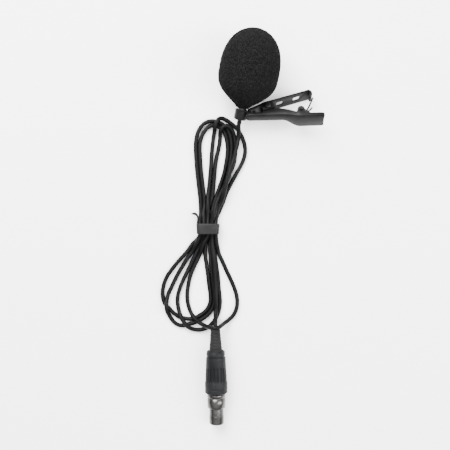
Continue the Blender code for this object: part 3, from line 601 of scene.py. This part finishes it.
# %% [markdown]
# ## The foam windscreen
# A windscreen is cut from a block of open-cell foam, egg shaped and pinched at its foot. Its
# outline is a full round crown above the widest place and a soft S curve below it. The cells are
# too many to model one by one, so a Geometry Nodes tree presses a Voronoi pattern of pits into
# the outside only: a painted value says how much of the pit each place takes.

# %% The foam's outline
FOAM_R = 15.2
FOAM_LENGTH = 40.0
FOAM_FOOT = 6.3
FOAM_WIDEST = 18.2
FOAM_NECK_R = 3.4
FOAM_CROWN = 2.5
FOAM_BORE_R = 2.5
FOAM_BORE_DEPTH = 16.0


def foam_radius(height):
    if height >= FOAM_WIDEST:
        t = (height - FOAM_WIDEST) / (FOAM_LENGTH - FOAM_WIDEST)
        return FOAM_R * math.sqrt(max(0.0, 1.0 - t ** FOAM_CROWN))
    t = max(0.0, height / FOAM_WIDEST)
    return FOAM_NECK_R + (FOAM_R - FOAM_NECK_R) * (1.0 - (1.0 - t ** 1.3) ** 3.4)


def foam_profile(rows):
    outside = []
    for i in range(rows + 1):
        height = FOAM_LENGTH * (1.0 + math.cos(math.pi * i / rows)) / 2.0
        outside.append((foam_radius(height) if i else 0.0, FOAM_FOOT + height))
    top = FOAM_FOOT + FOAM_BORE_DEPTH
    return outside + [(FOAM_BORE_R + 0.3, FOAM_FOOT + 0.1), (FOAM_BORE_R, FOAM_FOOT + 0.6),
                      (FOAM_BORE_R, top - 1.0), (FOAM_BORE_R - 1.2, top), (0.0, top)]


# %% The cell tree
def cell_tree(finish):
    tree = bpy.data.node_groups.new("open_cells", "GeometryNodeTree")
    face = tree.interface
    face.new_socket("Geometry", in_out="INPUT", socket_type="NodeSocketGeometry")
    size = face.new_socket("Cells per Metre", in_out="INPUT", socket_type="NodeSocketFloat")
    depth = face.new_socket("Cell Depth", in_out="INPUT", socket_type="NodeSocketFloat")
    face.new_socket("Geometry", in_out="OUTPUT", socket_type="NodeSocketGeometry")
    nodes = tree.nodes
    given, result = nodes.new("NodeGroupInput"), nodes.new("NodeGroupOutput")
    cells = nodes.new("ShaderNodeTexVoronoi")
    outside = nodes.new("GeometryNodeInputNamedAttribute")
    outside.data_type = "FLOAT"
    outside.inputs["Name"].default_value = "outside"
    normal = nodes.new("GeometryNodeInputNormal")
    amount, pit, push = (nodes.new("ShaderNodeMath") for _ in range(3))
    amount.operation = pit.operation = push.operation = "MULTIPLY"
    push.inputs[1].default_value = -1.0
    along = nodes.new("ShaderNodeVectorMath")
    along.operation = "SCALE"
    moved = nodes.new("GeometryNodeSetPosition")
    real = nodes.new("GeometryNodeRealizeInstances")
    painted = nodes.new("GeometryNodeSetMaterial")
    painted.inputs["Material"].default_value = finish
    link(tree, given.outputs["Cells per Metre"], cells.inputs["Scale"])
    link(tree, cells.outputs["Distance"], amount.inputs[0])
    link(tree, given.outputs["Cell Depth"], amount.inputs[1])
    link(tree, amount.outputs["Value"], pit.inputs[0])
    link(tree, outside.outputs["Attribute"], pit.inputs[1])
    link(tree, pit.outputs["Value"], push.inputs[0])
    link(tree, normal.outputs["Normal"], along.inputs[0])
    link(tree, push.outputs["Value"], along.inputs["Scale"])
    link(tree, given.outputs["Geometry"], moved.inputs["Geometry"])
    link(tree, along.outputs["Vector"], moved.inputs["Offset"])
    link(tree, moved.outputs["Geometry"], real.inputs["Geometry"])
    link(tree, real.outputs["Geometry"], painted.inputs["Geometry"])
    link(tree, painted.outputs["Geometry"], result.inputs["Geometry"])
    return tree, size.identifier, depth.identifier


def applied(piece):
    """The evaluated shape as a plain mesh, with its modifiers gone."""
    graph = bpy.context.evaluated_depsgraph_get()
    mesh = bpy.data.meshes.new_from_object(piece.evaluated_get(graph))
    piece.modifiers.clear()
    old = piece.data
    piece.data = mesh
    bpy.data.meshes.remove(old)
    return piece


CELLS_PER_METRE = 1000.0
CELL_DEPTH = 0.35 * MM


def make_foam():
    rows, steps = ((130, 300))
    foam = place_mesh("windscreen_foam", spin(foam_profile(rows), steps), MIC_FRAME, FOAM, sharp=60.0)
    back = MIC_FRAME.inverted()
    painted = foam.data.attributes.new("outside", "FLOAT", "POINT")
    for spot, value in zip(foam.data.vertices, painted.data):
        local = back @ spot.co / MM
        away = math.hypot(local.x, local.y)
        low = local.z < FOAM_FOOT + FOAM_BORE_DEPTH + 1.0
        value.value = min(1.0, max(0.0, (away - FOAM_BORE_R - 0.3) / 2.0)) if low else 1.0
    cells = foam.modifiers.new("cells", "NODES")
    cells.node_group, size_id, depth_id = cell_tree(FOAM)
    cells[size_id] = CELLS_PER_METRE
    cells[depth_id] = CELL_DEPTH
    applied(foam)
    stand_for(foam, "windscreen", "foam_black", "foam_windscreen")
    return foam


foam = make_foam()
print("foam:", len(foam.data.polygons), "faces")

# %% [markdown]
# ## The microphone under the foam
# Pull the windscreen off and there is a small metal tube with a pierced cap. It is turned like
# the rest; its cap has rows of sound holes, which a Geometry Nodes tree could cut but which
# read as dark wells at this size, so each is a shallow cup pressed into the cap's side.

# %% Microphone body and cap
BODY_R = 2.2
BODY_LENGTH = 13.0
CAP_LENGTH = 6.4
HOLE_DEPTH = 0.28
PLAY = 0.3
INSIDE_R = BODY_R - 0.35


def make_microphone():
    body = [(INSIDE_R, BODY_LENGTH), (BODY_R - 0.2, BODY_LENGTH), (BODY_R, BODY_LENGTH - 0.2),
            (BODY_R, BODY_LENGTH - 1.0), (BODY_R - 0.12, BODY_LENGTH - 1.1),
            (BODY_R - 0.12, BODY_LENGTH - 1.5), (BODY_R, BODY_LENGTH - 1.6), (BODY_R, PLAY + 0.3),
            (BODY_R - 0.3, PLAY), (INSIDE_R - 0.9, PLAY), (INSIDE_R - 0.9, 1.4), (INSIDE_R, 1.4)]
    tube = place_mesh("microphone_tube", spin(eased(body, 0.08), 72), MIC_FRAME, MIC_COAT)
    stand_for(tube, "microphone", "satin_black_metal", "mic_housing")
    foot = BODY_LENGTH + PLAY
    crown = foot + CAP_LENGTH
    cap = [(0.0, crown), (BODY_R - 0.9, crown), (BODY_R, crown - 0.9), (BODY_R, foot), (INSIDE_R, foot),
           (INSIDE_R, crown - 1.0), (INSIDE_R - 0.4, crown - 0.5), (0.0, crown - 0.5)]

    def sound_holes(angle, height, radius):
        rows = abs(math.sin((height - foot) * math.pi / 1.2))
        ring = abs(math.sin(angle * 6.0))
        on_side = radius > INSIDE_R + 0.2 and height < crown - 1.3
        return HOLE_DEPTH if on_side and rows > 0.75 and ring > 0.75 else 0.0

    fine = [cap[0], cap[1], cap[2]]
    fine += [(BODY_R, crown - 0.9 - 0.1 * k) for k in range(1, int((CAP_LENGTH - 0.9) / 0.1))]
    fine += cap[3:]
    pierced = place_mesh("microphone_cap", spin(fine, 144, sound_holes), MIC_FRAME, MIC_COAT)
    stand_for(pierced, "microphone", "satin_black_metal", "mic_grille")
    mouth = INSIDE_R - 0.9 - PLAY
    relief = [(0.0, 1.2), (mouth, 1.2), (mouth, 0.0), (mouth + 0.5, 0.0), (mouth + 0.45, -0.8),
              (CORD_R + 0.12, -2.2), (0.0, -2.2)]
    sleeve = place_mesh("microphone_relief", spin(eased(relief, 0.1), 48), MIC_FRAME, BOOT_RUBBER)
    stand_for(sleeve, "microphone", "black_rubber", "mic_strain_relief")
    return tube, pierced, sleeve


print("microphone:", [piece.name for piece in make_microphone()])

# %% [markdown]
# ## The clip
# The clip is folded from thin steel. Real sheet has slightly rounded edges, which is why its
# outline shows as fine pale lines. A copy of each frame mesh is merged, its flat faces are
# joined up and a Bevel rounds what is left, so only its edges differ from the frame's.

# %% Soften the folded pieces
def softened(name, node, body, slot_name, finish, width):
    """A smooth-shaded copy of a frame piece, with its edges rounded by width in mm, or left at 0."""
    form = bmesh.new()
    form.from_mesh(frame["nodes"][node].data)
    bmesh.ops.remove_doubles(form, verts=form.verts, dist=1e-6)
    if width:
        bmesh.ops.dissolve_limit(form, angle_limit=math.radians(1.0), verts=form.verts, edges=form.edges)
    mesh = bpy.data.meshes.new(name)
    form.to_mesh(mesh)
    form.free()
    mesh.materials.append(finish)
    piece = bpy.data.objects.new(name, mesh)
    bpy.context.scene.collection.objects.link(piece)
    if width:
        rounding = piece.modifiers.new("rounding", "BEVEL")
        rounding.width = width * MM
        rounding.segments = 2
        rounding.limit_method = "ANGLE"
        rounding.angle_limit = math.radians(30.0)
        applied(piece)
    piece.data.shade_smooth()
    piece.data.set_sharp_from_angle(angle=math.radians(40.0))
    stand_for(piece, body, slot_name, node)
    return piece


CLIP_PIECES = {
    "clip_jaw": ("clip_lower_jaw", "lower_jaw", 0.12),
    "clip_arm": ("clip_lever", "clip_top", 0.12),
    "clip_ring": ("clip_collar", "clip_top", 0.10),
}
for piece_name, (node_name, body_name, edge) in CLIP_PIECES.items():
    piece = softened(piece_name, node_name, body_name, "satin_black_metal", CLIP_COAT, edge)
    print(piece_name, len(piece.data.polygons), "faces")

# %% [markdown]
# ### The spring's wire
# A torsion spring: four turns round a pin through the jaw's ears, a short tail that curls past
# the thumb plate, and a long leg that reaches down to the arm. The coil follows a rule
# and the tail and leg are a few chosen places, all swept with a round section.

# %% Wind the spring
SPRING_JOINT = JOINTS["spring_follow"]
OPEN_JOINT = JOINTS["clip_open"]
WIRE_R = 0.42
COIL_R = 1.25
COIL_TURNS = 4
COIL_SHIFT = 1.0
COIL_PITCH = 0.95
LEG_ANGLE = 55.5
LEG_LENGTH = 12.6
THUMB_FACE = next(m for m in frame["record"]["mounts"] if m["name"] == "thumb_face")


def spring_frame():
    """Local z along the pin, y away from the thumb plate and x along the clip."""
    z = Vector(OPEN_JOINT["axis"]).normalized()
    y = -Vector(THUMB_FACE["axis"]).normalized()
    x = y.cross(z).normalized()
    turn = Matrix((x, z.cross(x), z)).transposed().to_4x4()
    return Matrix.Translation(Vector(SPRING_JOINT["pos_m"])) @ turn


def swept_wire(name, points, radius, where, finish, steps=12):
    """A closed tube along a smooth line through the points, with rounded ends."""
    path = [Vector(p) for p in resample(points, 0.25)]
    form = bmesh.new()
    side = None
    rings = []
    for k, spot in enumerate(path):
        run = (path[min(k + 1, len(path) - 1)] - path[max(k - 1, 0)]).normalized()
        side = (run.orthogonal() if side is None else side - run * side.dot(run)).normalized()
        over = run.cross(side)
        end = min(k, len(path) - 1 - k)
        r = radius * (0.6, 0.92, 1.0)[min(end, 2)]
        rings.append([form.verts.new(spot + (side * math.cos(a) + over * math.sin(a)) * r)
                      for a in (math.tau * j / steps for j in range(steps))])
    join_rings(form, zip(rings[:-1], rings[1:]))
    cap_ends(form, rings)
    return place_mesh(name, form, where, finish, sharp=60.0)


def make_spring():
    where = spring_frame()
    length = COIL_PITCH * COIL_TURNS
    coil = []
    for k in range(COIL_TURNS * 16 + 1):
        angle = math.tau * k / 16 - math.pi / 2
        coil.append((COIL_R * math.cos(angle), COIL_R * math.sin(angle),
                     COIL_SHIFT - length / 2 + COIL_PITCH * k / 16))
    x, y, z = coil[-1]
    tail = [(x + 1.6, y + 0.1, z), (x + 3.2, y + 0.5, z), (x + 4.6, y + 1.5, z), (x + 5.8, y + 3.0, z)]
    wound = swept_wire("spring_coil_wire", coil + tail, WIRE_R, where, CLIP_COAT)
    stand_for(wound, "lower_jaw", "satin_black_metal", "clip_spring")
    hook = COIL_SHIFT - length / 2 - COIL_PITCH
    leg = [(-0.15, -COIL_R, hook), (0.9, -1.0, hook), (1.35, 0.2, hook), (1.6, 1.6, hook * 0.95),
           (1.2, 4.4, hook * 0.6), (0.8, 8.0, hook * 0.25), (0.4, 10.4, 0.0), (0.0, LEG_LENGTH, 0.0)]
    swung = where @ Matrix.Rotation(math.radians(LEG_ANGLE - 90.0), 4, "Z")
    pressed = swept_wire("spring_leg_wire", leg, WIRE_R, swung, CLIP_COAT)
    stand_for(pressed, "spring_leg", "satin_black_metal", "clip_spring_leg")
    return wound, pressed


print("spring:", [len(piece.data.polygons) for piece in make_spring()])

# %% Finish the small parts that stay
STAYING = {
    "clip_pivot_pin": DARK_STEEL, "spring_pin": DARK_STEEL, "collar_rivet": DARK_STEEL,
    "capsule": NICKEL, "capsule_gasket": BOOT_RUBBER, "preamp_board": BOARD_GREEN,
    "plug_cable_clamp": SHELL_NYLON,
    "plug_insert": SHELL_NYLON, "plug_latch": NICKEL, "latch_spring": NICKEL,
    "plug_contact_1": GOLD_PLATE, "plug_contact_2": GOLD_PLATE,
    "plug_contact_3": GOLD_PLATE, "plug_contact_4": GOLD_PLATE,
}
for node_name, finish in STAYING.items():
    for slot_place in frame["nodes"][node_name].material_slots:
        slot_place.material = finish
print(len(STAYING), "small parts finished")

# %% [markdown]
# ## The plug
# From the cord outwards: a ribbed rubber boot, a moulded back shell with a recessed ring and
# finger grooves, a nickel barrel with fine rings, and the thin nose sleeve round the contacts.
# The grooves are pressed in while the profile is spun, which keeps each piece one closed shell.

# %% Boot and back shell
BOOT_LENGTH = 14.2
BOOT_FROM_R, BOOT_TO_R = 2.5, 3.7
SHELL_FROM = 11.2
SHELL_LENGTH = 21.6
SHELL_FROM_R, SHELL_TO_R = 4.65, 5.75
SHELL_END = SHELL_FROM + SHELL_LENGTH
SHELL_BORE = BOOT_TO_R + PLAY
CORD_BORE = CORD_R + 0.12


def make_boot():
    rib_pitch, rib_depth = 1.55, 0.16
    outer = []
    for k in range(81):
        z = 0.5 + (SHELL_FROM - 0.7) * (1 - k / 80)
        t = (z - 0.5) / (SHELL_FROM - 0.7)
        ripple = rib_depth * (0.5 - 0.5 * math.cos(math.tau * z / rib_pitch)) if z > 1.0 else 0.0
        outer.append((BOOT_FROM_R + (BOOT_TO_R - 0.3 - BOOT_FROM_R) * t - ripple, z))
    profile = [(CORD_BORE, BOOT_LENGTH), (BOOT_TO_R, BOOT_LENGTH), (BOOT_TO_R, SHELL_FROM + 0.4)]
    profile += outer + [(BOOT_FROM_R - 0.3, 0.0), (CORD_BORE, 0.0)]
    boot = place_mesh("plug_boot_ribbed", spin(profile, 72), PLUG_FRAME, BOOT_RUBBER, sharp=50.0)
    return stand_for(boot, "clip_top", "black_rubber", "plug_boot")


def make_back_shell():
    grooves, groove_depth = 18, 0.38
    groove_low, groove_high = SHELL_FROM + 7.6, SHELL_FROM + 15.8

    def finger_grooves(angle, height, radius):
        if radius < SHELL_BORE + 0.1:
            return 0.0
        fade = min(1.0, max(0.0, min(height - groove_low, groove_high - height) / 0.8))
        ridge = math.cos(angle * grooves)
        return groove_depth * fade * min(1.0, max(0.0, (ridge - 0.35) * 3.0))

    outer = [(SHELL_TO_R - 0.5, SHELL_END), (SHELL_TO_R, SHELL_END - 0.5),
             (SHELL_TO_R, SHELL_END - 2.2), (SHELL_TO_R - 0.12, SHELL_END - 2.35),
             (SHELL_TO_R - 0.12, SHELL_END - 2.65), (SHELL_TO_R, SHELL_END - 2.8),
             (SHELL_TO_R, SHELL_END - 5.5), (SHELL_TO_R - 0.25, SHELL_END - 6.3)]
    start = Vector(outer[-1])
    end = Vector((SHELL_FROM_R + 0.35, SHELL_FROM + 4.0))
    outer += [tuple(start.lerp(end, k / 44)) for k in range(1, 45)]
    outer += [(SHELL_FROM_R + 0.2, SHELL_FROM + 3.0), (SHELL_FROM_R - 0.25, SHELL_FROM + 2.9),
              (SHELL_FROM_R - 0.25, SHELL_FROM + 2.1), (SHELL_FROM_R + 0.15, SHELL_FROM + 2.0),
              (SHELL_FROM_R, SHELL_FROM + 0.4), (SHELL_FROM_R - 0.25, SHELL_FROM)]
    profile = [(SHELL_BORE, SHELL_END)] + outer + [(SHELL_BORE, SHELL_FROM)]
    shell = place_mesh("plug_shell_moulded", spin(profile, 192, finger_grooves), PLUG_FRAME, SHELL_NYLON)
    return stand_for(shell, "clip_top", "black_plastic", "plug_back_shell")


print("plug back:", make_boot().name, make_back_shell().name)

# %% Barrel and nose
BARREL_FROM = SHELL_END + PLAY
BARREL_LENGTH = 7.4
NOSE_R = 3.7
NOSE_WALL = 0.45
NOSE_FROM = BARREL_FROM + BARREL_LENGTH + PLAY
NOSE_END = NOSE_FROM + 8.0


def make_nose():
    profile = [(NOSE_R - NOSE_WALL, NOSE_END), (NOSE_R - 0.3, NOSE_END), (NOSE_R, NOSE_END - 0.4),
               (NOSE_R, NOSE_FROM + 3.6), (NOSE_R - 0.15, NOSE_FROM + 3.5), (NOSE_R - 0.15, NOSE_FROM),
               (NOSE_R - NOSE_WALL, NOSE_FROM)]
    nose = place_mesh("plug_nose_turned", spin(eased(profile, 0.1), 96), PLUG_FRAME, NICKEL)
    return stand_for(nose, "clip_top", "plug_metal", "plug_nose_sleeve")


barrel_piece = softened("plug_barrel_turned", "plug_barrel", "clip_top", "plug_metal", NICKEL, 0.0)
print("plug front:", make_nose().name, barrel_piece.name)

# %% [markdown]
# ## The strap
# A flat moulded strap holds the hank at its waist, and its end sticks out beside it as a small
# leaf. It is a ring of places in the strap's cross section, swept along its width, with its
# edges rounded and a thumb dent on top.

# %% Strap and its end
STRAP_WIDTH = 5.3
STRAP_WALL = 0.85
STRAP_FLARE = 0.35


def smooth_ring(points, parts):
    done = []
    count = len(points)
    for k in range(count):
        p0, p1, p2, p3 = (Vector(points[(k + j - 1) % count]) for j in range(4))
        for i in range(parts):
            t = i / parts
            done.append(0.5 * (2 * p1 + (p2 - p0) * t + (2 * p0 - 5 * p1 + 4 * p2 - p3) * t * t
                               + (3 * p1 - p0 - 3 * p2 + p3) * t ** 3))
    return done


def make_strap():
    middle = Vector(tie_centre) / MM
    half = (tie_high.x - tie_low.x) / 2 / MM
    low, high = tie_low.z / MM, tie_high.z / MM
    section = [(-half, low + 1.6), (-half + 0.5, low + 0.2), (-half + 2.0, low), (half - 2.0, low),
               (half - 0.5, low + 0.2), (half, low + 1.6), (half, high - 1.8), (half - 0.8, high - 0.6),
               (half - 2.4, high - 0.1), (0.0, high), (-half + 2.4, high - 0.1), (-half + 0.8, high - 0.6),
               (-half, high - 1.8)]
    ring = smooth_ring(section, 6)
    rows = 13
    form = bmesh.new()
    layers = []
    for wall in (0.0, STRAP_WALL):
        for row in range(rows):
            v = row / (rows - 1) * 2 - 1
            ease = 0.12 * max(0.0, abs(v) - 0.85) / 0.15
            shrink = wall + (ease if wall == 0.0 else -ease)
            loop = []
            for spot in ring:
                flare = 1.0 + STRAP_FLARE / half * v * 0.5
                x = spot.x * flare * (1 - shrink / half)
                z = (spot.y - (low + high) / 2) * (1 - shrink / ((high - low) / 2)) + (low + high) / 2
                dent = math.exp(-((x - 2.7) ** 2 + (v * STRAP_WIDTH / 2 - 1.1) ** 2) / 0.35)
                if wall == 0.0 and z > (low + high) / 2:
                    z -= 0.3 * dent
                loop.append(form.verts.new((middle.x + x, middle.y + v * STRAP_WIDTH / 2, z)))
            layers.append(loop)
    order = layers[:rows] + layers[rows:][::-1]
    join_rings(form, zip(order, order[1:] + order[:1]))
    strap = place_mesh("hank_strap", form, Matrix(), STRAP_NYLON, sharp=50.0)
    return stand_for(strap, "clip_top", "black_plastic", "cord_tie", "tie_end_2")


def make_strap_end():
    """A thin tongue that rises beside the strap and ends in a small leaf turned outwards."""
    middle = Vector(tie_centre) / MM
    half = (tie_high.x - tie_low.x) / 2 / MM
    path = [(-half + 0.5, 1.0, 3.4, 0.55, 0.9), (-half + 0.35, 2.6, 3.5, 0.5, 1.0),
            (-half + 0.55, 4.2, 3.6, 0.45, 1.0), (-half + 0.7, 5.8, 3.7, 0.45, 0.9),
            (-half + 0.4, 7.0, 3.8, 0.6, 0.7), (-half - 0.5, 7.7, 3.8, 0.85, 0.5),
            (-half - 1.6, 7.9, 3.7, 0.75, 0.4), (-half - 2.5, 7.7, 3.6, 0.3, 0.3),
            (-half - 2.9, 7.6, 3.6, 0.05, 0.1)]
    form = bmesh.new()
    rings = []
    steps = 12
    for k, (x, y, z, wide, thick) in enumerate(path):
        before = Vector(path[max(0, k - 1)][:2])
        after = Vector(path[min(len(path) - 1, k + 1)][:2])
        run = (after - before).normalized()
        side = Vector((run.y, -run.x, 0.0))
        ring = []
        for j in range(steps):
            angle = math.tau * j / steps
            spot = Vector((middle.x + x, middle.y + y, z)) + side * wide * math.cos(angle)
            spot.z += thick * math.sin(angle)
            ring.append(form.verts.new(spot))
        rings.append(ring)
    join_rings(form, zip(rings[:-1], rings[1:]))
    cap_ends(form, rings)
    leaf = place_mesh("strap_end", form, Matrix(), STRAP_NYLON, sharp=60.0)
    rounder = leaf.modifiers.new("rounder", "SUBSURF")
    rounder.levels = rounder.render_levels = 2
    applied(leaf)
    return stand_for(leaf, "clip_top", "black_plastic", "tie_end_1")


strap_piece, strap_end_piece = make_strap(), make_strap_end()
print("strap:", strap_piece.name, strap_end_piece.name)

# %% [markdown]
# Last, the pieces that hang on the cord are gathered in one list: the whole plug at its end and
# the strap round its waist.

PLUG_PIECES = ["plug_boot_ribbed", "plug_shell_moulded", "plug_barrel_turned", "plug_nose_turned",
               "hank_strap", "strap_end"]
PLUG_NODES = ["plug_cable_clamp", "plug_insert", "plug_latch", "latch_spring"]
PLUG_NODES += [f"plug_contact_{number}" for number in (1, 2, 3, 4)]
on_cord = [bpy.data.objects[name] for name in PLUG_PIECES]
on_cord += [frame["nodes"][name] for name in PLUG_NODES]
print("pieces on the cord:", len(on_cord))
